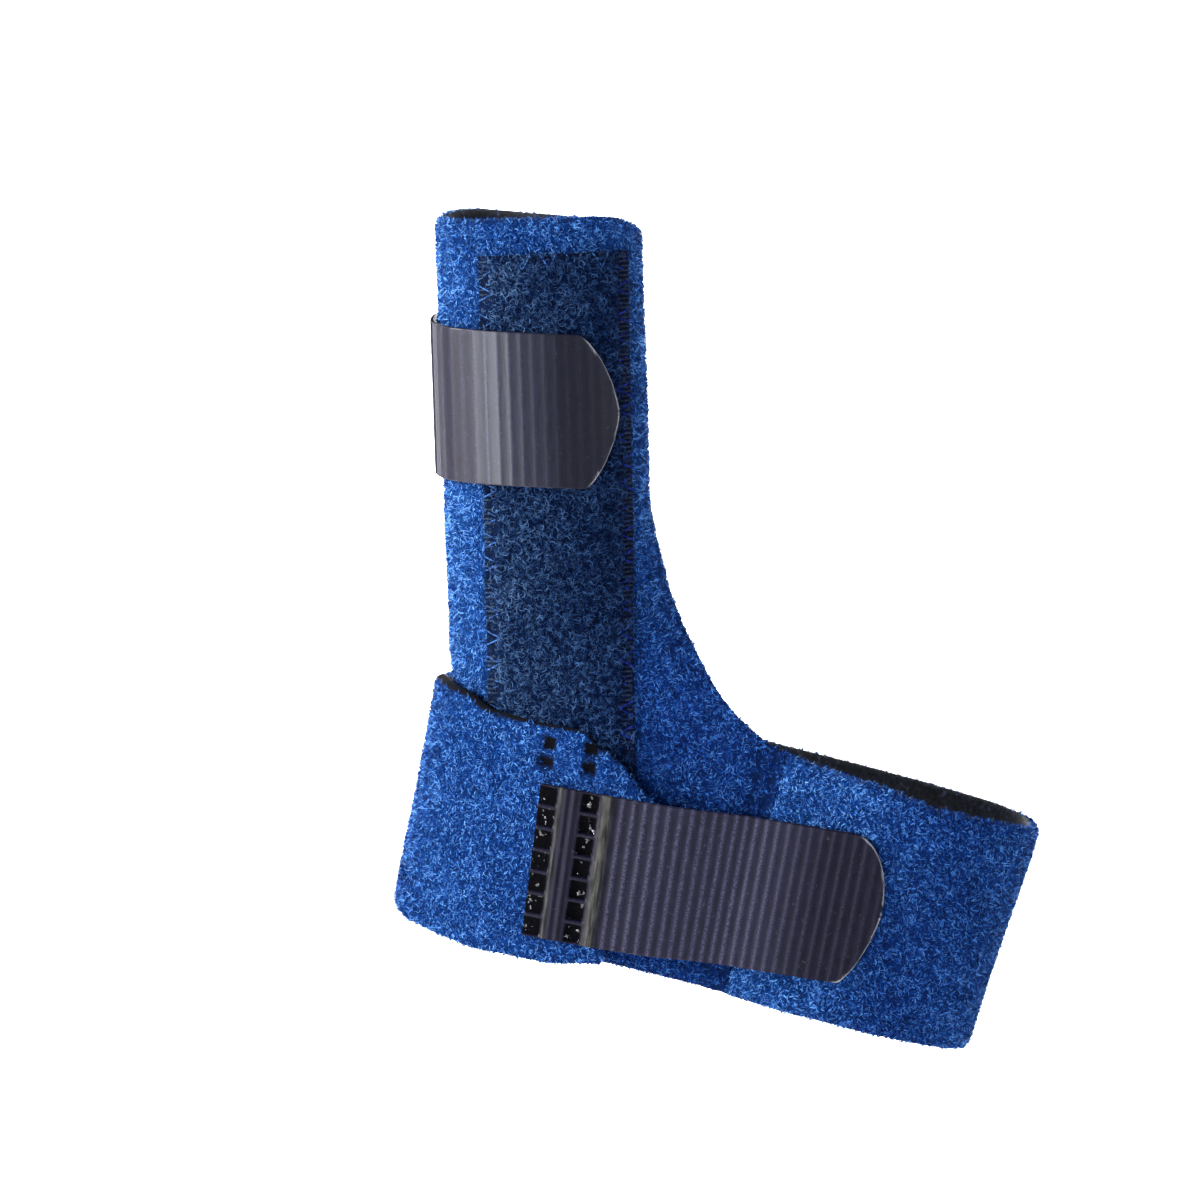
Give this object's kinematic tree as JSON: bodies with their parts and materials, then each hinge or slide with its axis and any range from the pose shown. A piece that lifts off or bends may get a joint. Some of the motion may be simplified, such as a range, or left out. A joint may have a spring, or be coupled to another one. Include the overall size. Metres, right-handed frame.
{
  "type": "finger splint",
  "caption": "Cloth finger splint held as worn: a sleeve round the index finger runs down to a palm panel and a band round the hand, closed by ribbed hook straps.",
  "frame": {"origin": "middle of the opening that the hand goes through, halfway up the band", "axes": "+Z along the finger sleeve to the fingertip's end, +X to the little finger's side, -Y to the palm's side, which faces the viewer"},
  "size_m": [0.1054, 0.0396, 0.1388],
  "materials": {
    "blue_cloth": "napped blue loop cloth on thin padding with a dark lining",
    "navy_loop": "navy loop tape with curly pile",
    "hook_plastic": "dark grey ribbed hook tape, satin on top"
  },
  "bodies": {
    "root": {"sleeve_panel": "blue_cloth", "hand_band": "blue_cloth", "loop_strip": "navy_loop", "finger_strap": "hook_plastic", "palm_strap": "hook_plastic"}
  },
  "joints": []
}
